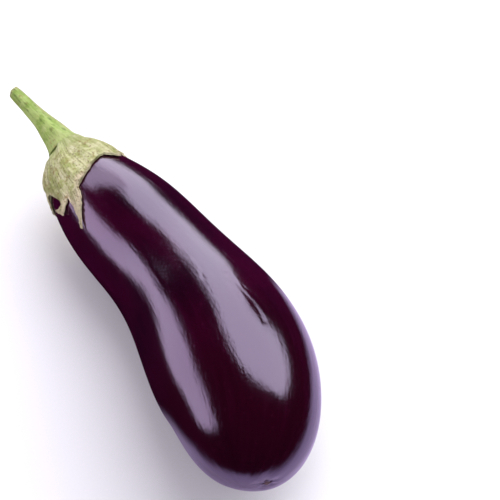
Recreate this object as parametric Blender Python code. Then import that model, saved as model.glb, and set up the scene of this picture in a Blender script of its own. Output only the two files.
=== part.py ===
"""An eggplant lying on its side: the fruit, the calyx that caps its neck, and the stem.

Frame: +X runs along the fruit from the stem to the blossom end and +Z is up. The eggplant rests
on a small flat spot at z = 0, and the middle of its bounding box is at x = y = 0.
Units are metres. Angles round the fruit start at the top (+Z) and grow towards +Y.
"""

import math

import bmesh
import bpy
import numpy as np

# Fruit
FRUIT_LENGTH = 0.202  # crown to blossom end, along the spine's chord
BELLY_RADIUS = 0.0388
SHOULDER_RADIUS = 0.0305
NECK_RADIUS = 0.0240  # where the calyx grips
BOW = 0.0237  # how far the spine bends sideways, towards +Y
REST_DEPTH = 0.0008  # how much the fruit is flattened where it rests

# Calyx
CALYX_THICKNESS = 0.0013
RIM_REACH = 0.030  # from the crown, along the skin, to the rim between two sepals
SEPAL_LIFT = 0.0012  # how far the tip of a sepal stands off the skin
SEAT_MARGIN = 0.001  # how far the calyx's flat top runs out past the stem's foot
SEAT_HEIGHT = 0.0032  # how far the calyx rises above the crown
FLARE_WIDTH = 0.0114  # how far out from the flat top the rise dies out
# Each sepal: angle of its middle, half its width, its reach beyond the rim, lean of its tip
SEPALS = (
    (42, 24, 0.007, 0),
    (99, 30, 0.013, 5),
    (158, 29, 0.012, 4),
    (-144, 27, 0.013, -4),
    (-88, 26, 0.008, 3),
    (-52, 12, 0.011, -7),
    (-31, 15, 0.023, -18),
)

# Stem
STEM_LENGTH = 0.041
STEM_FOOT_RADIUS = 0.0086
STEM_MID_RADIUS = 0.0056
STEM_TIP_RADIUS = 0.0041
STEM_BEND = 0.0040  # how far the tip bends away, towards -Y
STEM_RISE = 0.002  # how far the tip bends up
STEM_OFFSET = 0.0027  # how far its foot stands from the middle of the crown, towards +Y

SEAT_RADIUS = STEM_FOOT_RADIUS + SEAT_MARGIN

GAP = 0.0003  # clearance between pieces that touch

# Half the outline of the fruit: share of its length, radius
PROFILE = (
    (0.000, 0.0),
    (0.000, 0.62 * NECK_RADIUS),
    (0.060, 1.02 * NECK_RADIUS),
    (0.155, 0.98 * SHOULDER_RADIUS),
    (0.250, 1.01 * SHOULDER_RADIUS),
    (0.360, 1.02 * SHOULDER_RADIUS),
    (0.480, 0.86 * BELLY_RADIUS),
    (0.600, 0.96 * BELLY_RADIUS),
    (0.720, 1.02 * BELLY_RADIUS),
    (0.860, 0.96 * BELLY_RADIUS),
    (1.000, 0.68 * BELLY_RADIUS),
    (1.000, 0.0),
)

# The line through the middle of the fruit: share of its length, share of the bow, height
SPINE = (
    (0.00, -0.04, 0.0018),
    (0.12, 0.17, -0.0030),
    (0.27, 0.58, -0.0064),
    (0.43, 0.86, -0.0036),
    (0.60, 1.00, 0.0016),
    (0.78, 0.94, 0.0050),
    (0.90, 0.60, 0.0064),
    (1.00, 0.00, 0.0066),
)

# How finely each piece is divided
FRUIT_SIDES, FRUIT_RINGS = 56, 46
CALYX_SIDES, CALYX_RINGS = 96, 14
STEM_SIDES, STEM_RINGS = 24, 14

SKIN = (0.045, 0.005, 0.028)
CALYX_GREEN = (0.62, 0.66, 0.42)
STEM_GREEN = (0.30, 0.42, 0.12)


def spline(controls, share):
    """The point at share 0 to 1 of the clamped cubic B-spline over the control points."""
    controls = np.asarray(controls, float)
    spans = len(controls) - 3
    knots = np.concatenate([[0] * 3, np.linspace(0, 1, spans + 1), [1] * 3])
    span = min(int(share * spans), spans - 1) + 3
    points = [controls[span - 3 + j] for j in range(4)]
    for level in range(1, 4):
        for j in range(3, level - 1, -1):
            low = knots[span - 3 + j]
            high = knots[span + 1 + j - level]
            mix = (share - low) / (high - low)
            points[j] = (1 - mix) * points[j - 1] + mix * points[j]
    return points[3]


def spine_at(along):
    """The spine's point at a share of the length, with its tangent, upward and sideways axes."""
    scale = np.array((FRUIT_LENGTH, BOW, 1.0))
    step = 0.004
    low, high = max(along - step, 0), min(along + step, 1)
    point = spline(SPINE, along) * scale
    tangent = (spline(SPINE, high) - spline(SPINE, low)) * scale
    tangent /= np.linalg.norm(tangent)
    side = np.cross((0, 0, 1), tangent)
    side /= np.linalg.norm(side)
    return point, tangent, np.cross(tangent, side), side


def ray(up, side, degrees):
    """The direction at an angle round the fruit."""
    angle = math.radians(degrees)
    return up * math.cos(angle) + side * math.sin(angle)


def skin_point(share, degrees, offset=0.0):
    """A point on the fruit, or at an offset outside its skin, at a share of the outline."""
    along, radius = spline(PROFILE, share)
    after = spline(PROFILE, min(share + 0.002, 1))
    before = spline(PROFILE, max(share - 0.002, 0))
    run = (after[0] - before[0]) * FRUIT_LENGTH
    rise = after[1] - before[1]
    slope = math.hypot(run, rise)
    centre, tangent, up, side = spine_at(along)
    out = ray(up, side, degrees)
    return centre + out * (radius + offset * run / slope) - tangent * (offset * rise / slope)


def walk_outline():
    """Shares of the outline and the distance walked along the skin from the crown to each."""
    shares = np.linspace(0, 1, 600)
    points = np.array([spline(PROFILE, share) for share in shares])
    points[:, 0] *= FRUIT_LENGTH
    steps = np.linalg.norm(np.diff(points, axis=0), axis=1)
    return shares, np.concatenate([[0], np.cumsum(steps)]), points[:, 1]


SHARES, WALKED, RADII = walk_outline()
SEAT_REACH = float(np.interp(SEAT_RADIUS, RADII[:150], WALKED[:150]))


def loft(mesh, rings):
    """Joins rings of equal count with quads. A ring of one point closes as a fan."""
    loops = [[mesh.verts.new(point) for point in ring] for ring in rings]
    sides = max(len(loop) for loop in loops)
    for first, second in zip(loops, loops[1:]):
        for i in range(sides):
            j = (i + 1) % sides
            if len(first) == 1:
                mesh.faces.new((first[0], second[j], second[i]))
            elif len(second) == 1:
                mesh.faces.new((first[i], first[j], second[0]))
            else:
                mesh.faces.new((first[i], first[j], second[j], second[i]))


def finish(name, mesh, colour, roughness):
    """Turns the bmesh into a named object with its own material."""
    bmesh.ops.recalc_face_normals(mesh, faces=mesh.faces)
    data = bpy.data.meshes.new(name)
    mesh.to_mesh(data)
    mesh.free()
    data.shade_smooth()
    data.set_sharp_from_angle(angle=math.radians(40))
    material = bpy.data.materials.new(name)
    material.use_nodes = True
    shader = material.node_tree.nodes["Principled BSDF"]
    shader.inputs["Base Color"].default_value = (*colour, 1)
    shader.inputs["Roughness"].default_value = roughness
    data.materials.append(material)
    piece = bpy.data.objects.new(name, data)
    bpy.context.scene.collection.objects.link(piece)
    return piece


def ring_angles(sides):
    """Even angles round a ring."""
    return [360 * i / sides for i in range(sides)]


def fruit_rings():
    """Rings at even steps along the skin, between a point at the crown and one at the blossom end."""
    rings = [[skin_point(0, 0)]]
    for walked in np.linspace(0, WALKED[-1], FRUIT_RINGS + 2)[1:-1]:
        share = np.interp(walked, WALKED, SHARES)
        rings.append([skin_point(share, angle) for angle in ring_angles(FRUIT_SIDES)])
    rings.append([skin_point(1, 0)])
    return rings


def rest_height(rings):
    """The height of the flat spot, in the frame of the spine."""
    return min(point[2] for ring in rings for point in ring) + REST_DEPTH


def make_fruit():
    """The fruit, flattened where it rests, and the height of that flat spot."""
    mesh = bmesh.new()
    rings = fruit_rings()
    loft(mesh, rings)
    floor = rest_height(rings)
    everything = mesh.verts[:] + mesh.edges[:] + mesh.faces[:]
    bmesh.ops.bisect_plane(
        mesh, geom=everything, dist=1e-7, plane_co=(0, 0, floor), plane_no=(0, 0, -1), clear_outer=True
    )
    bmesh.ops.holes_fill(mesh, edges=[edge for edge in mesh.edges if edge.is_boundary])
    return finish("fruit", mesh, SKIN, 0.22), floor


def sepal_at(degrees):
    """The sepal at an angle: how far it reaches beyond the rim there, its length and its lean."""
    found = (0.0, 1.0, 0.0)
    for middle, half, length, lean in SEPALS:
        away = abs((degrees - middle + 180) % 360 - 180) / half
        reach = length * max(1 - away, 0) ** 1.25
        if reach > found[0]:
            found = (reach, length, lean)
    return found


def calyx_column(degrees):
    """The inner and outer points of the calyx at one angle, from its top to its edge."""
    beyond, length, lean = sepal_at(degrees)
    reach = RIM_REACH + beyond

    def points(start, surface):
        walked = np.linspace(start, reach, CALYX_RINGS + 1)[1:]
        towards_tip = np.maximum(walked - RIM_REACH, 0) / length
        shares = np.interp(walked, WALKED, SHARES)
        return [
            surface(share, degrees + lean * part, GAP + SEPAL_LIFT * part)
            for share, part in zip(shares, towards_tip)
        ]

    return points(0, skin_point), points(SEAT_REACH, calyx_top)


def calyx_top(share, degrees, lift):
    """A point on the outside of the calyx, which rises to the stem's seat near the crown."""
    along, radius = spline(PROFILE, share)
    rise = np.clip(1 - (radius - SEAT_RADIUS) / FLARE_WIDTH, 0, 1)
    rise = rise * rise * (3 - 2 * rise)
    _, tangent, _, side = spine_at(along)
    point = skin_point(share, degrees, lift + CALYX_THICKNESS)
    return point + (side * STEM_OFFSET - tangent * SEAT_HEIGHT) * rise


def seat():
    """The middle of the calyx's flat top, and its outward axis."""
    crown, tangent, up, side = spine_at(0)
    middle = crown - tangent * (GAP + CALYX_THICKNESS + SEAT_HEIGHT) + side * STEM_OFFSET
    return middle, -tangent, up, side


def make_calyx():
    """The calyx: up the inside to its edge, back over the outside and across its flat top."""
    angles = ring_angles(CALYX_SIDES)
    columns = [calyx_column(angle) for angle in angles]
    middle, outward, up, side = seat()
    crown = spine_at(0)[0]
    rings = [[crown + outward * GAP]]
    rings += [[column[0][i] for column in columns] for i in range(CALYX_RINGS)]
    rings += [[column[1][i] for column in columns] for i in reversed(range(CALYX_RINGS))]
    rings.append([middle + SEAT_RADIUS * ray(up, side, angle) for angle in angles])
    rings.append([middle])
    mesh = bmesh.new()
    loft(mesh, rings)
    return finish("calyx", mesh, CALYX_GREEN, 0.6)


def make_stem():
    """The stem: a bent tube, wide at its foot, that stands on the calyx's flat top."""
    middle, outward, up, side = seat()
    start = middle + outward * GAP
    bend = up * STEM_RISE - side * STEM_BEND
    line = [start + outward * STEM_LENGTH * t + bend * t * t for t in (0, 0.2, 0.5, 0.8, 1)]
    radii = (
        STEM_FOOT_RADIUS,
        0.84 * STEM_FOOT_RADIUS,
        STEM_MID_RADIUS,
        1.04 * STEM_MID_RADIUS,
        STEM_TIP_RADIUS,
        STEM_TIP_RADIUS,
    )
    rings = [[start]]
    for i in range(STEM_RINGS):
        t = i / (STEM_RINGS - 1)
        centre = spline(line, t)
        tangent = spline(line, min(t + 0.01, 1)) - spline(line, max(t - 0.01, 0))
        tangent = outward if i == 0 else tangent / np.linalg.norm(tangent)
        across = np.cross(tangent, up)
        across /= np.linalg.norm(across)
        lift = np.cross(across, tangent)
        radius = spline([(r,) for r in radii], t)[0]
        rings.append([centre + radius * ray(lift, across, a) for a in ring_angles(STEM_SIDES)])
    rings.append([centre])
    mesh = bmesh.new()
    loft(mesh, rings)
    return finish("stem", mesh, STEM_GREEN, 0.55)


def corners(pieces):
    """The lowest and the highest corner of the box round the pieces."""
    points = np.array([vert.co for piece in pieces for vert in piece.data.vertices])
    return points.min(axis=0), points.max(axis=0)


def main():
    for old in list(bpy.data.objects):
        bpy.data.objects.remove(old, do_unlink=True)
    fruit, floor = make_fruit()
    pieces = [fruit, make_calyx(), make_stem()]
    low, high = corners(pieces)
    eggplant = bpy.data.objects.new("eggplant", None)
    bpy.context.scene.collection.objects.link(eggplant)
    eggplant.location = (-(low[0] + high[0]) / 2, -(low[1] + high[1]) / 2, -floor)
    for piece in pieces:
        piece.parent = eggplant


main()
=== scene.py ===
"""The looks of an eggplant that lies on its side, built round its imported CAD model.

The fruit, the calyx and the stem each stand for one CAD node. Their shapes follow the same profile,
spine and stem line as the CAD, so each lies where its node lies, with finer relief on top.
Units are metres. Angles round the fruit are in degrees, from the top (+Z) towards +Y, and "walked"
is the distance along the skin from the crown, where the stem is, towards the blossom end.
"""

import math

import bpy
import numpy as np
from mathutils import Matrix, Vector


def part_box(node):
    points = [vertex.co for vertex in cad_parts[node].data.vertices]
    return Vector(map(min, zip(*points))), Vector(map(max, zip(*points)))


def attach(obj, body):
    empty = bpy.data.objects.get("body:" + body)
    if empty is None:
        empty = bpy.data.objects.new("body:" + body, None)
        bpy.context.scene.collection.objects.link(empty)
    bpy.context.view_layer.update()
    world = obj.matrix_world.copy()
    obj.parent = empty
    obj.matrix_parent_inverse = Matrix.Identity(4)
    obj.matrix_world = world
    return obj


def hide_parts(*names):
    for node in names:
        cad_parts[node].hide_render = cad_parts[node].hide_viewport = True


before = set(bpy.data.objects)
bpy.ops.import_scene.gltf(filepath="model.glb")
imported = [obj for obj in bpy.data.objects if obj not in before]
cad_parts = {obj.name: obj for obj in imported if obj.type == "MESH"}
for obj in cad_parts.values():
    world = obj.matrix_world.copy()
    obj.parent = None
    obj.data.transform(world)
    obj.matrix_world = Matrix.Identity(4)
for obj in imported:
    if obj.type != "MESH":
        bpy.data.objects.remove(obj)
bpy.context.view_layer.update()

# ---------------------------------------------------------------------------------------------
# Sizes shared with the CAD model

FRUIT_LENGTH = 0.202  # crown to blossom end, along the spine's chord
BELLY_RADIUS = 0.0388
SHOULDER_RADIUS = 0.0305
NECK_RADIUS = 0.0240  # where the calyx grips
BOW = 0.0237  # how far the spine bends sideways, towards +Y
CAD_SIDES, CAD_RINGS = 56, 46

CALYX_THICKNESS = 0.0013
SEAT_MARGIN = 0.001  # how far the calyx's flat top runs out past the stem's foot
SEAT_HEIGHT = 0.0032  # how far the calyx rises above the crown
FLARE_WIDTH = 0.0114  # how far out from the flat top the rise dies out

STEM_LENGTH = 0.041
STEM_FOOT_RADIUS = 0.0086
STEM_BEND = 0.0040  # how far the tip bends away, towards -Y
STEM_RISE = 0.002  # how far the tip bends up
STEM_OFFSET = 0.0027  # how far its foot stands from the middle of the crown, towards +Y

SEAT_RADIUS = STEM_FOOT_RADIUS + SEAT_MARGIN
GAP = 0.0003  # clearance between pieces that touch
MM = 0.001

# Half the outline of the fruit: share of its length, radius
PROFILE = (
    (0.000, 0.0),
    (0.000, 0.62 * NECK_RADIUS),
    (0.060, 1.02 * NECK_RADIUS),
    (0.155, 0.98 * SHOULDER_RADIUS),
    (0.250, 1.01 * SHOULDER_RADIUS),
    (0.360, 1.02 * SHOULDER_RADIUS),
    (0.480, 0.86 * BELLY_RADIUS),
    (0.600, 0.96 * BELLY_RADIUS),
    (0.720, 1.02 * BELLY_RADIUS),
    (0.860, 0.96 * BELLY_RADIUS),
    (1.000, 0.68 * BELLY_RADIUS),
    (1.000, 0.0),
)

# The line through the middle of the fruit: share of its length, share of the bow, height
SPINE = (
    (0.00, -0.04, 0.0018),
    (0.12, 0.17, -0.0030),
    (0.27, 0.58, -0.0064),
    (0.43, 0.86, -0.0036),
    (0.60, 1.00, 0.0016),
    (0.78, 0.94, 0.0050),
    (0.90, 0.60, 0.0064),
    (1.00, 0.00, 0.0066),
)

# ---------------------------------------------------------------------------------------------
# Shape functions


def unit(vectors):
    """The vectors at length 1."""
    return vectors / np.linalg.norm(vectors, axis=-1, keepdims=True)


def smooth(low, high, values):
    """0 below low, 1 above high, and an even rise between."""
    part = np.clip((np.asarray(values, float) - low) / (high - low), 0, 1)
    return part * part * (3 - 2 * part)


def spline(controls, shares):
    """Points at shares 0 to 1 of the clamped cubic B-spline over the control points."""
    controls = np.asarray(controls, float)
    shares = np.clip(np.asarray(shares, float), 0, 1)
    spans = len(controls) - 3
    knots = np.concatenate([[0] * 3, np.linspace(0, 1, spans + 1), [1] * 3])
    span = np.minimum((shares * spans).astype(int), spans - 1) + 3
    points = [controls[span - 3 + j] for j in range(4)]
    for level in range(1, 4):
        for j in range(3, level - 1, -1):
            low, high = knots[span - 3 + j], knots[span + 1 + j - level]
            mix = ((shares - low) / (high - low))[..., None]
            points[j] = (1 - mix) * points[j - 1] + mix * points[j]
    return points[3]


def spine_at(along):
    """The spine's points at shares of the length, with their tangent, upward and sideways axes."""
    scale = np.array((FRUIT_LENGTH, BOW, 1.0))
    step = 0.004
    ahead = spline(SPINE, np.minimum(along + step, 1))
    behind = spline(SPINE, np.maximum(along - step, 0))
    tangent = unit((ahead - behind) * scale)
    side = unit(np.cross((0, 0, 1), tangent))
    return spline(SPINE, along) * scale, tangent, np.cross(tangent, side), side


def ray(up, side, degrees):
    """Directions at angles round a line, from its up axis towards its side axis."""
    angle = np.radians(degrees)[..., None]
    return up * np.cos(angle) + side * np.sin(angle)


def turn_from(middle, degrees):
    """How far angles lie from a middle one, between -180 and 180."""
    return (np.asarray(degrees) - middle + 180) % 360 - 180


def walk_outline():
    """Shares of the outline, the distance walked from the crown to each, and the radius there."""
    shares = np.linspace(0, 1, OUTLINE_STEPS)
    points = spline(PROFILE, shares) * (FRUIT_LENGTH, 1)
    steps = np.linalg.norm(np.diff(points, axis=0), axis=1)
    return shares, np.concatenate([[0], np.cumsum(steps)]), points[:, 1]


OUTLINE_STEPS = 600
SHARES, WALKED, RADII = walk_outline()
NECK_STEPS = slice(OUTLINE_STEPS // 4)  # on the neck the radius only grows
SEAT_REACH = float(np.interp(SEAT_RADIUS, RADII[NECK_STEPS], WALKED[NECK_STEPS]))


def skin(walked, degrees, offset=0.0, rise=0.0):
    """Points on the fruit, at an offset outside its skin and a rise towards the stem."""
    share = np.interp(walked, WALKED, SHARES)
    along, radius = np.moveaxis(spline(PROFILE, share), -1, 0)
    step = 0.002
    change = spline(PROFILE, np.minimum(share + step, 1)) - spline(PROFILE, np.maximum(share - step, 0))
    run, climb = np.moveaxis(change * (FRUIT_LENGTH, 1), -1, 0)
    slope = np.hypot(run, climb)
    centre, tangent, up, side = spine_at(along)
    outward = (radius + offset * run / slope)[..., None]
    back = (offset * climb / slope + rise)[..., None]
    return centre + ray(up, side, degrees) * outward - tangent * back


def radius_at(walked):
    """The fruit's radius at a distance walked from the crown."""
    return np.interp(walked, WALKED, RADII)


def noise(points, cell, seed):
    """Smooth values from -1 to 1 at points (..., 3), with bumps about as large as a cell."""
    size = 48  # the pattern repeats after this many cells
    table = np.random.default_rng(seed).uniform(-1, 1, (size, size, size))
    scaled = np.asarray(points) / np.asarray(cell, float)
    low = np.floor(scaled).astype(int)
    part = scaled - low
    part = part * part * (3 - 2 * part)
    total = np.zeros(scaled.shape[:-1])
    for corner in np.ndindex(2, 2, 2):
        weight = np.where(corner, part, 1 - part).prod(axis=-1)
        x, y, z = np.moveaxis((low + corner) % size, -1, 0)
        total += weight * table[x, y, z]
    return total


def unrolled(walked, degrees, radius):
    """Coordinates for patterns that run along a piece: round it in x and y, along it in z."""
    angle = np.radians(degrees)
    places = np.broadcast_arrays(radius * np.cos(angle), radius * np.sin(angle), walked)
    return np.stack(places, axis=-1)


def placement():
    """The shift from the fruit's own coordinates to the frame's, from the CAD node's box."""
    walked = np.linspace(0, WALKED[-1], CAD_RINGS + 2)[:, None]
    degrees = np.arange(CAD_SIDES)[None, :] * 360 / CAD_SIDES
    points = skin(walked, degrees).reshape(-1, 3)
    _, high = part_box("fruit")
    return np.array(high) - points.max(axis=0)


SHIFT = placement()

# ---------------------------------------------------------------------------------------------
# Meshes


def grid_faces(grid):
    """Quads between the neighbours in a grid of point numbers, row by row."""
    above, below = grid[:-1], grid[1:]
    quads = np.stack([above[:, :-1], above[:, 1:], below[:, 1:], below[:, :-1]], axis=-1)
    return quads.reshape(-1, 4).tolist()


def tube_faces(rows, columns):
    """Quads between the points of closed rings numbered one after the other."""
    grid = np.arange(rows * columns).reshape(rows, columns)
    return grid_faces(np.hstack([grid, grid[:, :1]]))


def fan(centre, ring, flip=False):
    """Triangles from a centre point to a closed ring of points."""
    after = ring[1:] + ring[:1]
    return [(centre, b, a) if flip else (centre, a, b) for a, b in zip(ring, after)]


def build(name, points, faces, fields, material):
    """A smooth mesh object from points and faces, with its pattern coordinates and values."""
    data = bpy.data.meshes.new(name)
    data.from_pydata((points + SHIFT).tolist(), [], faces)
    for label, values in fields.items():
        kind = "FLOAT_VECTOR" if values.ndim == 2 else "FLOAT"
        layer = data.attributes.new(label, kind, "POINT")
        layer.data.foreach_set("vector" if values.ndim == 2 else "value", values.astype(np.float32).ravel())
    data.shade_smooth()
    data.validate()
    data.materials.append(material)
    piece = bpy.data.objects.new(name, data)
    bpy.context.scene.collection.objects.link(piece)
    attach(piece, "root")
    return piece


# ---------------------------------------------------------------------------------------------
# Materials


def feed(tree, socket, source):
    """Links a socket to another one, or sets its value."""
    if isinstance(source, bpy.types.NodeSocket):
        tree.links.new(source, socket)
    elif isinstance(source, (tuple, list)) and len(source) == 3 and len(socket.default_value) == 4:
        socket.default_value = (*source, 1)
    else:
        socket.default_value = source


def mix_colours(tree, share, first, second):
    """The output of a node that mixes two colours."""
    made = tree.nodes.new("ShaderNodeMix")
    made.data_type = "RGBA"
    colours = [socket for socket in made.inputs if socket.type == "RGBA"]
    feed(tree, made.inputs[0], share)
    feed(tree, colours[0], first)
    feed(tree, colours[1], second)
    return next(socket for socket in made.outputs if socket.type == "RGBA")


class Patterns:
    """Short calls that add nodes to one material."""

    def __init__(self, name):
        self.material = bpy.data.materials.new(name)
        self.material.use_nodes = True
        self.tree = self.material.node_tree
        self.shader = self.tree.nodes["Principled BSDF"]
        self.coordinates = self.field("grain", "Vector")

    def node(self, kind, sources, output, **settings):
        made = self.tree.nodes.new("ShaderNode" + kind)
        for key, value in settings.items():
            setattr(made, key, value)
        for socket, source in sources.items():
            feed(self.tree, made.inputs[socket], source)
        return made.outputs[output]

    def field(self, name, output="Fac"):
        """A value or a vector that the mesh carries at its points."""
        return self.node("Attribute", {}, output, attribute_name=name)

    def place(self):
        """The point's place in the scene."""
        return self.node("NewGeometry", {}, "Position")

    def stretched(self, x, y, z):
        return self.node("VectorMath", {0: self.coordinates, 1: (x, y, z)}, 0, operation="MULTIPLY")

    def mottling(self, scale, detail=4, roughness=0.6):
        """Noise by place, which runs on from one piece to the next."""
        sources = {"Vector": self.place(), "Scale": scale, "Detail": detail, "Roughness": roughness}
        return self.node("TexNoise", sources, "Fac")

    def noise(self, scale, detail=3, roughness=0.5, stretch=(1, 1, 1)):
        """Noise in the piece's own grain."""
        vector = self.stretched(*stretch)
        sources = {"Vector": vector, "Scale": scale, "Detail": detail, "Roughness": roughness}
        return self.node("TexNoise", sources, "Fac")

    def cells(self, scale, stretch=(1, 1, 1)):
        """The distance to the nearest of many scattered dots."""
        return self.node("TexVoronoi", {"Vector": self.stretched(*stretch), "Scale": scale}, "Distance")

    def range(self, value, low, high, to_low=0.0, to_high=1.0):
        """A smooth change from one level to another while the value goes from low to high."""
        sources = {"Value": value, "From Min": low, "From Max": high, "To Min": to_low, "To Max": to_high}
        return self.node("MapRange", sources, "Result", interpolation_type="SMOOTHSTEP")

    def math(self, operation, first, second):
        return self.node("Math", {0: first, 1: second}, 0, operation=operation)

    def times(self, first, second):
        return self.math("MULTIPLY", first, second)

    def sum(self, *terms):
        """The sum of (weight, value) terms."""
        total = None
        for weight, value in terms:
            part = self.times(value, weight)
            total = part if total is None else self.math("ADD", total, part)
        return total

    def mix(self, share, first, second):
        return mix_colours(self.tree, share, first, second)

    def bump(self, height, distance, strength=1.0, under=None):
        sources = {"Height": height, "Distance": distance, "Strength": strength}
        if under is not None:
            sources["Normal"] = under
        return self.node("Bump", sources, "Normal")

    def set(self, **inputs):
        """Sets the shader's inputs, named with _ for a space."""
        for name, source in inputs.items():
            feed(self.tree, self.shader.inputs[name.replace("_", " ")], source)
        return self.material


# Skin
PURPLE, WINE, DARK_RED = (0.0085, 0.0001, 0.0036), (0.0300, 0.0001, 0.0105), (0.0130, 0.0001, 0.0022)
STREAK_WINE, SPECK_PINK = (0.028, 0.0003, 0.010), (0.11, 0.015, 0.05)
CORK, DARK_CORK = (0.20, 0.11, 0.06), (0.07, 0.035, 0.025)

# Calyx and stem
CREAM, BUFF_GREEN, CHALK_GREEN = (0.53, 0.53, 0.28), (0.31, 0.35, 0.10), (0.70, 0.74, 0.53)
PALE_GREEN, LIGHT_GREEN, GREEN = (0.34, 0.42, 0.13), (0.35, 0.47, 0.12), (0.22, 0.34, 0.045)
STRAW, STRAW_GREEN, DRY_BARK = (0.60, 0.57, 0.39), (0.42, 0.47, 0.20), (0.42, 0.37, 0.21)
TAN, UMBER, OLIVE = (0.76, 0.65, 0.46), (0.17, 0.145, 0.05), (0.085, 0.145, 0.012)
BROWN, DARK_BROWN = (0.26, 0.185, 0.050), (0.115, 0.080, 0.018)


def skin_material():
    """Dark waxy aubergine skin: purple over wine red, fine lengthwise streaks, a corky blossom scar."""
    at = Patterns("eggplant_skin")
    cloud = at.noise(28, 4, 0.55, (1, 1, 0.45))
    streak = at.noise(420, 3, 0.6, (1, 1, 0.10))
    grit = at.noise(820, 3, 0.65, (1, 1, 0.6))
    speck = at.cells(230, (1, 1, 0.8))
    walked = at.node("SeparateXYZ", {0: at.coordinates}, "Z")
    colour = at.mix(at.range(cloud, 0.35, 0.70), PURPLE, WINE)
    colour = at.mix(at.range(walked, 0.13, 0.20, 0, 0.8), colour, DARK_RED)
    colour = at.mix(at.range(streak, 0.45, 0.75, 0, 0.4), colour, STREAK_WINE)
    colour = at.mix(at.range(speck, 0.04, 0.12, 0.25, 0), colour, SPECK_PINK)
    scar = at.field("scar")
    colour = at.mix(scar, colour, at.mix(at.noise(900, 4), CORK, DARK_CORK))
    rough = at.sum((0.05, streak), (0.06, grit), (1.0, at.range(scar, 0, 1, 0.065, 0.45)))
    height = at.sum((0.8, streak), (0.8, grit), (-0.2, at.range(speck, 0.02, 0.12, 1, 0)))
    wave = at.bump(at.noise(75, 2, 0.4, (1, 1, 0.35)), 0.00035)
    return at.set(
        Base_Color=colour, Roughness=rough, Normal=at.bump(height, 0.000085, under=wave),
        IOR=1.6, Specular_Tint=(0.82, 0.70, 1.0), Specular_IOR_Level=0.87,
    )


def calyx_material():
    """Dry pale calyx: cream green with fibres along it, brown specks and patches, tan dried edges."""
    at = Patterns("calyx_fibre")
    cloud, blotch, freckle = at.mottling(190), at.mottling(330, 5, 0.7), at.mottling(900, 3, 0.7)
    fibre = at.noise(1300, 3, 0.65, (1, 1, 0.10))
    fine = at.noise(3200, 3, 0.7, (1, 1, 0.3))
    dry, top = at.field("dry"), at.field("top")
    colour = at.mix(at.range(cloud, 0.42, 0.58), BUFF_GREEN, CREAM)
    colour = at.mix(at.range(cloud, 0.60, 0.70, 0, 0.6), colour, CHALK_GREEN)
    colour = at.mix(at.times(top, at.range(blotch, 0.35, 0.60, 0.45, 0.9)), colour, PALE_GREEN)
    colour = at.mix(at.range(dry, 0.0, 1.0, 0, 0.85), colour, TAN)
    colour = at.mix(at.range(fibre, 0.48, 0.70, 0, 0.5), colour, STRAW)
    colour = at.mix(at.range(fibre, 0.32, 0.46, 0.65, 0), colour, UMBER)
    flank = at.range(top, 0.0, 0.8, 0.9, 0.15)
    colour = at.mix(at.times(flank, at.range(blotch, 0.54, 0.66)), colour, BROWN)
    colour = at.mix(at.times(flank, at.range(freckle, 0.58, 0.65)), colour, DARK_BROWN)
    height = at.sum((1.0, fibre), (0.5, fine), (0.7, blotch), (0.4, freckle))
    rough = at.sum((0.25, fine), (1.0, at.range(dry, 0, 1, 0.42, 0.62)))
    relief = at.bump(height, 0.0009, 0.9)
    return at.set(Base_Color=colour, Roughness=rough, Normal=relief, Specular_IOR_Level=0.35)


def stem_material():
    """Green stem with pale and brown blotches, lengthwise fibres, and a pale cut end."""
    at = Patterns("stem_bark")
    cloud, blotch, freckle = at.mottling(170), at.mottling(300, 5, 0.7), at.mottling(800, 3, 0.7)
    fibre = at.noise(1500, 3, 0.6, (1, 1, 0.12))
    fine = at.noise(3000, 3, 0.7)
    knot = at.cells(330, (1, 1, 0.5))
    dry, foot = at.field("dry"), at.field("top")
    colour = at.mix(at.range(cloud, 0.40, 0.58), GREEN, LIGHT_GREEN)
    colour = at.mix(at.times(foot, at.range(blotch, 0.35, 0.60, 0.45, 0.9)), colour, PALE_GREEN)
    colour = at.mix(at.times(dry, 0.8), colour, DRY_BARK)
    colour = at.mix(at.range(fibre, 0.50, 0.72, 0, 0.40), colour, STRAW_GREEN)
    colour = at.mix(at.range(fibre, 0.30, 0.45, 0.55, 0), colour, OLIVE)
    colour = at.mix(at.range(knot, 0.10, 0.30, 0.7, 0), colour, OLIVE)
    colour = at.mix(at.range(blotch, 0.57, 0.66, 0, 0.7), colour, BROWN)
    aged = at.range(dry, 0.1, 0.5, 0.25, 1)
    colour = at.mix(at.times(aged, at.range(freckle, 0.59, 0.67)), colour, DARK_BROWN)
    height = at.sum((1.0, fibre), (0.4, fine), (0.9, blotch), (0.5, freckle))
    rough = at.sum((0.3, fine), (0.15, cloud), (1.0, at.range(dry, 0, 1, 0.24, 0.40)))
    relief = at.bump(height, 0.0006, 0.9)
    return at.set(Base_Color=colour, Roughness=rough, Normal=relief, Specular_IOR_Level=0.4)


# ---------------------------------------------------------------------------------------------
# Fruit

FRUIT_SIDES, FRUIT_RINGS = 260, 400

# The blossom scar: its place, its puckered dent and the corky knob in it
SCAR_WALKED, SCAR_ANGLE = 0.231, 78
DENT_DEPTH, DENT_RADIUS = 0.0011, 0.0050
PUCKERS, PUCKER_DEPTH, PUCKER_RADIUS = 5, 0.00018, 0.0070
KNOB_HEIGHT, KNOB_RADIUS = 0.00045, 0.0014

# Old rub marks: walked and angle where each starts and ends, width, depth
CREASES = (
    (0.1395, 18, 0.1700, 24, 0.0011, 0.00014),
    (0.1500, 24, 0.1640, 31, 0.0012, 0.00011),
    (0.1440, 15, 0.1560, 16, 0.0010, 0.00009),
    (0.1290, 6, 0.1375, 2, 0.0010, 0.00008),
)


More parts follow.
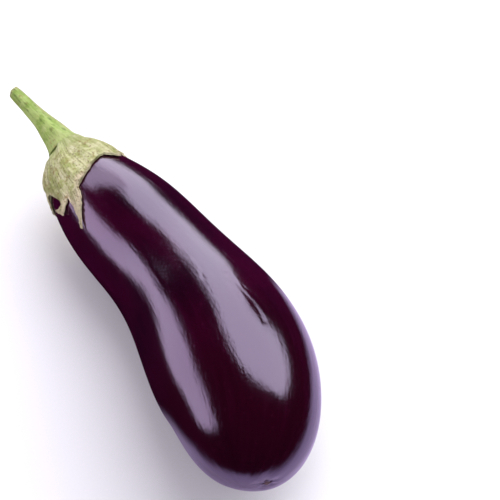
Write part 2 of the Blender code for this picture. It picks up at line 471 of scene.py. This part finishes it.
def crease_depth(walked, degrees, around):
    """How deep the rub marks lie in the skin, each along a line that wavers a little."""
    total = np.zeros(walked.shape)
    for start, start_angle, end, end_angle, width, depth in CREASES:
        part = np.clip((walked - start) / (end - start), 0, 1)
        middle = start_angle + (end_angle - start_angle) * part + 1.2 * noise(around, 0.005, 16)
        sideways = math.radians(BELLY_RADIUS) * turn_from(middle, degrees)
        beyond = walked - (start + (end - start) * part)
        total += depth * np.exp(-(sideways**2 + beyond**2) / width**2)
    return total


def blossom_scar(walked, degrees, around):
    """The height of the blossom scar, and how corky the skin is there."""
    flat = skin(walked, degrees)
    spot = skin(SCAR_WALKED, SCAR_ANGLE)
    along = unit(skin(SCAR_WALKED + 0.001, SCAR_ANGLE) - spot)
    beside = unit(skin(SCAR_WALKED, SCAR_ANGLE + 3) - spot)
    apart = np.linalg.norm(flat - spot, axis=-1)
    turned = np.arctan2((flat - spot) @ beside, (flat - spot) @ along)
    pucker = PUCKER_DEPTH * np.cos(PUCKERS * turned + 2)
    cork = smooth(0, 1, 1.6 - apart / (KNOB_RADIUS + 0.0006 * noise(around, 0.003, 14)))
    height = cork * (KNOB_HEIGHT + 0.00025 * noise(around, 0.0009, 15))
    height -= DENT_DEPTH * np.exp(-((apart / DENT_RADIUS) ** 2))
    height -= pucker * np.exp(-((apart / PUCKER_RADIUS) ** 2))
    return height, cork


def make_fruit():
    """The fruit, with gentle dents, rub marks, its blossom scar and its flat resting spots."""
    walked = np.linspace(0, WALKED[-1], FRUIT_RINGS + 2)[1:-1, None]
    degrees = np.arange(FRUIT_SIDES)[None, :] * 360 / FRUIT_SIDES
    walked, degrees = np.broadcast_arrays(walked, degrees)
    around = unrolled(walked, degrees, BELLY_RADIUS)
    dents = 0.00030 * noise(around, (0.022, 0.022, 0.06), 11)
    dents += 0.00010 * noise(around, (0.008, 0.008, 0.05), 12)
    dents *= smooth(0.02, 0.05, walked) * smooth(0, 0.03, WALKED[-1] - walked)
    scar_height, cork = blossom_scar(walked, degrees, around)
    relief = dents - crease_depth(walked, degrees, around) + scar_height
    points = skin(walked, degrees, relief).reshape(-1, 3)
    ends = np.array([skin(0.0, 0.0), points[-FRUIT_SIDES:].mean(axis=0)])
    points = np.concatenate([points, ends])
    floor_height = -SHIFT[2]
    points[:, 2] = np.maximum(points[:, 2], floor_height)
    count = FRUIT_RINGS * FRUIT_SIDES
    faces = [face[::-1] for face in tube_faces(FRUIT_RINGS, FRUIT_SIDES)]
    faces += fan(count, list(range(FRUIT_SIDES)))
    faces += fan(count + 1, list(range(count - FRUIT_SIDES, count)), flip=True)
    end_grain = unrolled(np.array([0, WALKED[-1]]), np.zeros(2), 0.0)
    fields = {
        "grain": np.concatenate([around.reshape(-1, 3), end_grain]),
        "scar": np.concatenate([cork.ravel(), [0, 0]]),
    }
    fruit = build("eggplant_fruit", points, faces, fields, skin_material())
    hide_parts("fruit")


# ---------------------------------------------------------------------------------------------
# Calyx

BODY_ROWS, SEPAL_ROWS = 60, 44
COLUMN_STEP, FEWEST_COLUMNS = 1.1, 18  # degrees between two columns of points, columns of a sepal
INNER_START = 0.006  # walked to the first inner row
EDGE_THICKNESS = 0.00045
COLLAR_LOW, COLLAR_HIGH = 0.0031, 0.0056  # how far the calyx climbs the stem, at its two sides
COLLAR_HIGH_ANGLE = 40
BELLY_BULGE = 0.0010

# Each sepal, in the order of its angle: its two edges, as (angle, walked in mm) from the notch on
# either side to the tip, how far its edge lifts and how far its tip lifts, both in mm.
SEPALS = (
    (((-173, 29), (-167, 33), (-155, 37), (-149, 42.5)),
     ((-117, 27), (-123, 33), (-139, 37), (-148, 42.5)), 0.5, 1.0),
    (((-117, 27), (-112, 28.5), (-106, 28), (-101, 28.4)),
     ((-71, 24.5), (-76, 23.4), (-84, 23.8), (-92, 25.5), (-99.5, 28.4)), 0.1, 0.1),
    (((-71, 24.5), (-65, 26), (-59, 28), (-54.5, 30.5), (-58, 34), (-64.5, 32.4), (-70, 32.0)),
     ((-45, 33.2), (-48.5, 34.2), (-52, 35.2), (-56, 35.2), (-59.5, 36.1), (-63.5, 37.4),
      (-65, 33.9), (-70.3, 32.5)), 0.2, 0.9),
    (((-45, 33.2), (-43, 34.5), (-44, 38), (-44.5, 41.5), (-47, 45.5), (-50.8, 49.8)),
     ((21.5, 27.3), (12, 27.3), (0, 29.9), (-12, 31.6), (-23.5, 29.8), (-24.5, 33),
      (-28.5, 37), (-33, 40.3), (-39, 43.5), (-45.5, 46.3), (-50.7, 49.9)), 0.3, 0.2),
    (((21.5, 27.3), (26, 27.6), (33, 29), (41, 31.8)),
     ((68, 26), (60, 26.8), (49, 28.5), (42, 31.8)), 0.3, 0.4),
    (((68, 26), (80, 26.5), (94, 29), (106, 33.5)),
     ((129, 29), (124, 31), (114, 32), (107, 33.5)), 0.4, 0.6),
    (((129, 29), (136, 33), (150, 37), (160, 42)),
     ((187, 29), (180, 33), (168, 37), (161, 42)), 0.5, 1.0),
)

# Folds of the calyx that stand off the fruit: angle, width, walked to it, its reach, height
FOLDS = (
    (-74, 17, 0.0190, 0.0055, 0.0017),
    (-24, 12, 0.0230, 0.0085, 0.0009),
    (38, 24, 0.0195, 0.0075, 0.0021),
    (84, 20, 0.0200, 0.0080, 0.0010),
    (136, 20, 0.0200, 0.0080, 0.0010),
    (-160, 20, 0.0200, 0.0080, 0.0010),
)


def calyx_shift(walked, degrees):
    """How far the calyx is drawn out towards the stem, and how far it bulges off the skin."""
    out = np.clip((radius_at(np.minimum(walked, 0.04)) - SEAT_RADIUS) / FLARE_WIDTH, 0, 1)
    above = smooth(-0.5, 0.8, np.cos(np.radians(degrees - COLLAR_HIGH_ANGLE)))
    height = COLLAR_LOW + (COLLAR_HIGH - COLLAR_LOW) * above
    rise = (1 - out) ** (1.2 + 1.0 * above)
    bulge = BELLY_BULGE * (1 - above) * np.sin(np.pi * out**0.6) ** 2
    for middle, width, reach, reach_width, size in FOLDS:
        apart = turn_from(middle, degrees)
        bulge = bulge + size * np.exp(-((apart / width) ** 2) - ((walked - reach) / reach_width) ** 2)
    _, tangent, _, side = spine_at(np.zeros_like(out))
    return side * (STEM_OFFSET * rise)[..., None] - tangent * (height * rise)[..., None], bulge


def lay_out_sepals():
    """The sepals as grids below their notches, and the columns of the body above them.

    A sepal is its first column, its rows of (angle, walked), their lift off the fruit and their
    cells. A cell is the sepal's number plus the share of its width. A column of the body is its
    angle, the distance walked to its end and its cell.
    """
    sepals, columns = [], []
    down = np.linspace(0, 1, SEPAL_ROWS + 1)[1:, None]
    for index, (low, high, edge_lift, tip_lift) in enumerate(SEPALS):
        low, high = np.array(low) * (1, MM), np.array(high) * (1, MM)
        steps = max(FEWEST_COLUMNS, round((high[0, 0] - low[0, 0]) / COLUMN_STEP))
        share = np.linspace(0, 1, steps + 1)[:, None]
        rows = spline(low, down) * (1 - share) + spline(high, down) * share
        beside = np.abs(2 * share[:, 0] - 1)  # 0 in the middle of the sepal, 1 at its edges
        spots = unrolled(rows[..., 1], rows[..., 0], NECK_RADIUS)
        jags = np.stack([1.1 * noise(spots, 0.0012, 41), 0.45 * MM * noise(spots, 0.0010, 42)], axis=-1)
        rows += (beside**4 * smooth(0, 0.12, down))[..., None] * jags
        lift = MM * (edge_lift * beside**3 * smooth(0, 0.25, down) + tip_lift * down**2)
        cells = index + share
        sepals.append((sum(map(len, columns)), rows, lift, cells[:, 0]))
        notches = low[0] * (1 - share) + high[0] * share
        columns.append(np.hstack([notches, cells])[:-1])
    return sepals, np.concatenate(columns).T


def side_by_side(*values):
    """A row for each value, with an entry for each point."""
    return np.stack([value.ravel() for value in np.broadcast_arrays(*values)])


def calyx_grid():
    """The calyx's points and how they join, for its outer side.

    The points are rows of walked outside, walked inside, angle, cell and lift. With them come the
    faces, the free edge of each sepal and the number of points in the top row.
    """
    sepals, (angles, reaches, cells) = lay_out_sepals()
    part = np.linspace(0, 1, BODY_ROWS + 1)[:, None]
    outer = SEAT_REACH + (reaches - SEAT_REACH) * part
    inner = INNER_START + (reaches - INNER_START) * part
    patches = [side_by_side(outer, inner, angles, cells, 0.0)]
    total = len(angles)
    faces, rims = tube_faces(BODY_ROWS + 1, total), []
    last_row, count = BODY_ROWS * total, outer.size
    for first, rows, lift, cell in sepals:
        angle, walk = np.moveaxis(rows, -1, 0)
        patches.append(side_by_side(walk, walk, angle, cell, lift))
        feet = last_row + (first + np.arange(walk.shape[1])) % total
        grid = np.vstack([feet, count + np.arange(walk.size).reshape(walk.shape)])
        faces += grid_faces(grid)
        rims.append([*grid[:, 0].tolist(), *grid[-1, 1:-1].tolist(), *grid[::-1, -1].tolist()])
        count += walk.size
    return np.hstack(patches), faces, rims, total


def calyx_relief(column, around, away):
    """Ridges that run down the sepals, and lumps, all fainter near the free edge."""
    relief = 0.00065 * noise(column, (0.0034, 0.0034, 0.012), 21)
    relief += 0.00020 * noise(column, (0.0011, 0.0011, 0.006), 22)
    relief += 0.00034 * noise(around, (0.0040, 0.0040, 0.0034), 23)
    relief += 0.00010 * noise(around, (0.0011, 0.0011, 0.0010), 27)
    return relief * (0.3 + 0.7 * smooth(0, 0.002, away))


def calyx_dryness(walk, around, away):
    """How dry the calyx is: most at its free edge and at the tips of the long sepals."""
    dry = smooth(0.0030, 0.0003, away) * (0.45 + 0.4 * noise(around, 0.003, 26))
    dry += smooth(0.026, 0.044, walk) * 0.9 + 0.30 * noise(around, 0.004, 25)
    return np.clip(dry, 0, 1)


def make_calyx():
    """The calyx: one closed skin, out from under the stem to the sepals' tips and back inside."""
    (walk, inner, turn, cell, lift), faces, rims, total = calyx_grid()
    around = unrolled(walk, turn, NECK_RADIUS)
    column = unrolled(walk, cell * 360 / len(SEPALS), NECK_RADIUS)

    # The calyx is thin and curled at its free edge
    flat = skin(walk, turn)
    edge = flat[np.unique(np.concatenate(rims))[::3]]
    away = np.min(np.linalg.norm(flat[:, None] - edge[None], axis=-1), axis=1)
    thick = EDGE_THICKNESS + (CALYX_THICKNESS - EDGE_THICKNESS) * smooth(0, 0.0035, away)
    lift = lift + 0.00018 * (1 + noise(around, 0.006, 24)) * smooth(0.004, 0, away)
    shift, bulge = calyx_shift(walk, turn)
    relief = calyx_relief(column, around, away)
    outer_points = skin(walk, turn, GAP + lift + thick + relief + bulge) + shift
    inner_points = skin(inner, turn, GAP + lift)
    crown, tangent, _, side = spine_at(np.array(0.0))
    seat = crown - tangent * (GAP + CALYX_THICKNESS + SEAT_HEIGHT) + side * STEM_OFFSET
    points = np.concatenate([outer_points, inner_points, [seat, crown - tangent * GAP]])

    count = len(walk)
    inside = [tuple(i + count for i in face) for face in faces]
    faces = [face[::-1] for face in faces] + inside
    for rim in rims:
        faces += [(a, b, b + count, a + count) for a, b in zip(rim, rim[1:])]
    top = list(range(total))
    faces += fan(2 * count, top)
    faces += fan(2 * count + 1, [i + count for i in top], flip=True)

    dry = calyx_dryness(walk, around, away)
    crown_share = smooth(0.018, 0.010, walk)
    fields = {
        "grain": np.concatenate([column, column, np.zeros((2, 3))]),
        "dry": np.concatenate([dry, dry, [0, 0]]),
        "top": np.concatenate([crown_share, crown_share, [1, 1]]),
    }
    calyx = build("eggplant_calyx", points, faces, fields, calyx_material())
    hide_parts("calyx")


# ---------------------------------------------------------------------------------------------
# Stem

STEM_SIDES, STEM_RINGS = 110, 150
# Share of the stem's length, radius
STEM_RADII = (
    (0.00, 0.0100), (0.03, 0.0092), (0.07, 0.0084), (0.14, 0.0076), (0.24, 0.0068), (0.37, 0.0058),
    (0.50, 0.0050), (0.62, 0.0045), (0.75, 0.0041), (0.87, 0.0038), (0.95, 0.0036), (1.00, 0.0032),
)
CUT_SLANT = 0.35  # how far the cut end leans, as a share of its radius
CUT_ANGLE = 20  # degrees round the stem, where the cut end reaches furthest
CUT_RINGS = (0.93, 0.80, 0.60, 0.38, 0.18)  # rings of the cut end, as shares of its radius
DRY_RIDGE, DRY_WIDTH = 60, 20  # degrees round the stem
GRAIN_RADIUS = 0.006


def stem_line(shares):
    """Points on the stem's middle line at shares of its length, with its outward and up axes."""
    crown, tangent, up, side = spine_at(np.array(0.0))
    outward = -tangent
    start = crown + outward * (CALYX_THICKNESS + SEAT_HEIGHT + 2 * GAP) + side * STEM_OFFSET
    bend = up * STEM_RISE - side * STEM_BEND
    line = [start + outward * STEM_LENGTH * t + bend * t * t for t in (0, 0.2, 0.5, 0.8, 1)]
    along = unit(spline(line, np.minimum(shares + 0.01, 1)) - spline(line, np.maximum(shares - 0.01, 0)))
    across = unit(np.cross(along, up))
    return spline(line, shares), along, np.cross(across, along), across


def stem_radius(share, angle, around):
    """The stem's radius: a smooth taper with faint ribs and knobbles."""
    window = np.hanning(15)[1:-1]
    taper = np.pad(np.interp(share[:, 0], *zip(*STEM_RADII)), len(window) // 2, mode="edge")
    radius = np.convolve(taper, window / window.sum(), mode="valid")[:, None]
    ribs = 0.035 * np.cos(np.radians(5 * angle + 30 + 40 * share))
    ribs = ribs + 0.02 * np.cos(np.radians(9 * angle - 60 * share))
    radius = radius * (1 + ribs * smooth(0, 0.3, share))
    radius += 0.00030 * noise(around, (0.004, 0.004, 0.009), 31)
    radius += 0.00014 * noise(around, (0.0012, 0.0012, 0.007), 32)
    return radius


def make_stem():
    """The stem: ribbed, slightly knobbly, widening to its foot, with a rough cut end."""
    shares = np.linspace(0, 1, STEM_RINGS)
    share, angle = np.meshgrid(shares, np.arange(STEM_SIDES) * 360 / STEM_SIDES, indexing="ij")
    around = unrolled(share * STEM_LENGTH, angle, GRAIN_RADIUS)
    radius = stem_radius(share, angle, around)
    centre, along, up, across = stem_line(shares)
    wall = centre[:, None] + ray(up[:, None], across[:, None], angle) * radius[..., None]
    slant = CUT_SLANT * np.cos(np.radians(angle - CUT_ANGLE)) * radius * smooth(0.85, 1, share)
    wall += along[:, None] * slant[..., None]
    ridge = np.exp(-((turn_from(DRY_RIDGE, angle) / DRY_WIDTH) ** 2)) * smooth(0.05, 0.2, share)
    dry = smooth(0.955, 1.0, share) * 0.8 + 0.75 * ridge + 0.25 * noise(around, 0.003, 34)

    # The cut end: rings that shrink to the middle, a little hollow and rough
    rings, grain = [wall], [around]
    for size in CUT_RINGS:
        ring = centre[-1] + (wall[-1:] - centre[-1]) * size
        depth = 0.00025 - 0.0009 * (1 - size) + 0.00022 * noise(ring, 0.0008, 33)
        rings.append(ring + along[-1] * depth[..., None])
        grain.append(around[-1:] * (size, size, 1))
    ends = [centre[-1] - along[-1] * 0.0006, centre[0]]
    points = np.concatenate([np.concatenate(rings).reshape(-1, 3), ends])
    grain = np.concatenate([np.concatenate(grain).reshape(-1, 3), [(0, 0, STEM_LENGTH), (0, 0, 0)]])

    count = len(points) - 2
    faces = tube_faces(STEM_RINGS + len(CUT_RINGS), STEM_SIDES)
    faces += fan(count, list(range(count - STEM_SIDES, count)))
    faces += fan(count + 1, list(range(STEM_SIDES)), flip=True)
    cut_count = len(CUT_RINGS) * STEM_SIDES
    fields = {
        "grain": grain,
        "dry": np.concatenate([np.clip(dry, 0, 1).ravel(), np.ones(cut_count), [1, 0]]),
        "top": np.concatenate([smooth(0.30, 0.02, share).ravel(), np.zeros(cut_count), [0, 1]]),
    }
    stem = build("eggplant_stem", points, faces, fields, stem_material())
    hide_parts("stem")


# ---------------------------------------------------------------------------------------------
# Studio

CAMERA_AZIMUTH, CAMERA_ELEVATION = 62.6, 60.0
CAMERA_DISTANCE = 0.5222
CAMERA_TARGET = Vector((0.0128, 0.0395, 0.035))
CAMERA_LENS = 75  # millimetres

# The borders of the two light sheets: azimuth, elevation, distance
TENT = (
    (-94, 64, 1.15), (-102, 50, 1.3), (-102, 36, 1.5), (-101, 24, 1.9), (-106, 8, 2.3), (-112, 1, 2.4),
    (-124, 1, 2.4), (-132, 3, 2.4), (-137, 18, 2.1), (-148, 29, 1.8), (-161, 26, 1.9), (-172, 19, 2.1),
    (178, 18, 2.1), (169, 18, 2.1), (159, 24, 1.9), (152, 33, 1.6), (152, 53, 1.25), (154, 76, 1.05),
)
BOX = (
    (-58, 2, 1.4), (-57, 16, 1.4), (-50, 27, 1.4), (-40, 34, 1.4), (-24, 37, 1.4), (-8, 35, 1.4),
    (8, 29, 1.4), (10, 17, 1.4), (-4, 3, 1.4), (-30, 1, 1.4), (-58, 2, 1.4),
)
# A small card close over the neck
CARD = (
    (-59, 39, 0.171), (-58, 42, 0.168), (-60, 46, 0.164), (-67, 47, 0.159), (-79, 49.5, 0.157),
    (-94, 51, 0.158), (-104, 49, 0.162), (-107, 45, 0.167), (-104, 39, 0.172), (-89, 37, 0.170),
    (-74, 36, 0.170), (-61, 37, 0.173), (-59, 39, 0.171),
)
TENT_RADIANCE, BOX_RADIANCE, CARD_RADIANCE = 4.0, 3.2, 2.8
SHEET_INNER, SHEET_EDGE = 0.80, 0.55  # where a sheet's glow starts to fall, and its level at the border

BACKDROP, FILL = (0.97, 0.97, 0.99), (0.53, 0.52, 0.56)
# Painted dark reflection: the colour that the world, and the floor away from the blossom end, show in
# reflections.
PAINTED_DARK_REFLECTION = (0.030, 0.004, 0.020)
# The paper's last colour is a painted lilac reflection, which the floor shows in reflections round the
# blossom end.
PAPER, PAPER_GRAIN, PAINTED_LILAC_REFLECTION = (0.83, 0.83, 0.85), (0.87, 0.87, 0.89), (0.76, 0.62, 0.95)
FLOOR_HALF = 1.5
BLOSSOM_SPOT = (0.11, 0.02, 0)  # under the blossom end, where the floor shows in reflections


def towards(azimuth, elevation):
    """The direction from the object to a place at an azimuth (0 is -Y, 90 is +X) and elevation."""
    a, e = math.radians(azimuth), math.radians(elevation)
    return Vector((math.sin(a) * math.cos(e), -math.cos(a) * math.cos(e), math.sin(e)))


def make_camera():
    back = towards(CAMERA_AZIMUTH, CAMERA_ELEVATION)
    right = Vector((math.cos(math.radians(CAMERA_AZIMUTH)), math.sin(math.radians(CAMERA_AZIMUTH)), 0))
    camera = bpy.data.objects.new("camera", bpy.data.cameras.new("camera"))
    camera.data.lens = CAMERA_LENS
    turn = Matrix((right, back.cross(right), back)).transposed().to_4x4()
    camera.matrix_world = Matrix.Translation(CAMERA_TARGET + back * CAMERA_DISTANCE) @ turn
    camera.data.clip_start = 0.01
    bpy.context.scene.collection.objects.link(camera)
    bpy.context.scene.camera = camera


def glow_material(name, radiance, colour):
    """Light that falls off towards the border of its sheet."""
    material = bpy.data.materials.new(name)
    material.use_nodes = True
    tree = material.node_tree
    tree.nodes.clear()
    share = tree.nodes.new("ShaderNodeAttribute")
    share.attribute_name = "shine"
    level = tree.nodes.new("ShaderNodeMapRange")
    level.interpolation_type = "SMOOTHSTEP"
    feed(tree, level.inputs["Value"], share.outputs["Fac"])
    feed(tree, level.inputs["To Min"], SHEET_EDGE * radiance)
    feed(tree, level.inputs["To Max"], radiance)
    glow = tree.nodes.new("ShaderNodeEmission")
    feed(tree, glow.inputs["Color"], colour)
    feed(tree, glow.inputs["Strength"], level.outputs["Result"])
    output = tree.nodes.new("ShaderNodeOutputMaterial")
    feed(tree, output.inputs["Surface"], glow.outputs["Emission"])
    return material


def light_sheet(name, centre, border, radiance, colour):
    """A lit sheet of cloth on a frame, which the eye doesn't see: a fan from its centre to its border.

    Each point is given as azimuth, elevation and distance from the object.
    """
    places = [towards(azimuth, elevation) * distance for azimuth, elevation, distance in (centre, *border)]
    middle, rim = places[0], places[1:]
    count = len(rim)
    points = [middle] + [middle.lerp(point, SHEET_INNER) for point in rim] + rim
    faces = [(0, i, i + 1) for i in range(1, count)]
    faces += [(i, i + count, i + count + 1, i + 1) for i in range(1, count)]
    data = bpy.data.meshes.new(name)
    data.from_pydata(points, [], faces)
    shine = data.attributes.new("shine", "FLOAT", "POINT")
    shine.data.foreach_set("value", [1.0] * (count + 1) + [0.0] * count)
    data.materials.append(glow_material(name, radiance, colour))
    sheet = bpy.data.objects.new(name, data)
    sheet.visible_camera = False
    bpy.context.scene.collection.objects.link(sheet)
    return sheet


def make_lights():
    light_sheet("light_overhead", (-160, 88, 1.0), TENT, TENT_RADIANCE, (0.97, 0.95, 1.0))
    light_sheet("light_front", (-24, 18, 1.3), BOX, BOX_RADIANCE, (0.97, 0.84, 1.0))
    card = light_sheet("light_card", (-84, 45, 0.163), CARD, CARD_RADIANCE, (0.95, 0.90, 1.0))
    card.visible_diffuse = card.visible_shadow = False


def make_world():
    """White to the eye, a soft fill on matt surfaces, and painted dark in reflections, in place of dark
    flags.
    """
    world = bpy.data.worlds.new("studio")
    bpy.context.scene.world = world
    world.use_nodes = True
    tree = world.node_tree
    path = tree.nodes.new("ShaderNodeLightPath")
    colour = FILL
    for kind, seen in (("Is Glossy Ray", PAINTED_DARK_REFLECTION), ("Is Camera Ray", BACKDROP)):
        colour = mix_colours(tree, path.outputs[kind], colour, seen)
    feed(tree, tree.nodes["Background"].inputs["Color"], colour)


def floor_material():
    """White paper. In reflections it is painted lilac round the blossom end and painted dark further off and
    towards the stem: a painted reflection in place of dark flags beside the fruit.
    """
    at = Patterns("floor_paper")
    place = at.place()
    paper = at.node("TexNoise", {"Vector": place, "Scale": 900, "Detail": 2}, "Fac")
    colour = at.mix(paper, PAPER, PAPER_GRAIN)
    away = at.node("VectorMath", {0: place, 1: BLOSSOM_SPOT}, "Value", operation="DISTANCE")
    across = at.node("VectorMath", {0: place, 1: (1, 0.4, 0)}, "Value", operation="DOT_PRODUCT")
    # Painted dark reflection: away from the blossom end and towards the stem, the floor shows dark in
    # reflections.
    painted_dark_share = at.math("MAXIMUM", at.range(away, 0.10, 0.145), at.range(across, 0.060, 0.030))
    reflected = at.node("LightPath", {}, "Is Glossy Ray")
    # Painted lilac reflection, where the floor shows in reflections round the blossom end.
    colour = at.mix(reflected, colour, PAINTED_LILAC_REFLECTION)
    colour = at.mix(at.times(reflected, painted_dark_share), colour, PAINTED_DARK_REFLECTION)
    return at.set(Base_Color=colour, Roughness=0.9, Specular_IOR_Level=0.0)


def make_floor():
    corners = [(x * FLOOR_HALF, y * FLOOR_HALF, 0) for x, y in ((-1, -1), (1, -1), (1, 1), (-1, 1))]
    data = bpy.data.meshes.new("floor")
    data.from_pydata(corners, [], [(0, 1, 2, 3)])
    data.materials.append(floor_material())
    floor = bpy.data.objects.new("floor", data)
    bpy.context.scene.collection.objects.link(floor)


make_camera()
make_fruit()
make_calyx()
make_stem()
make_floor()
make_lights()
make_world()
bpy.context.scene.view_settings.view_transform = "Standard"

bpy.context.view_layer.update()
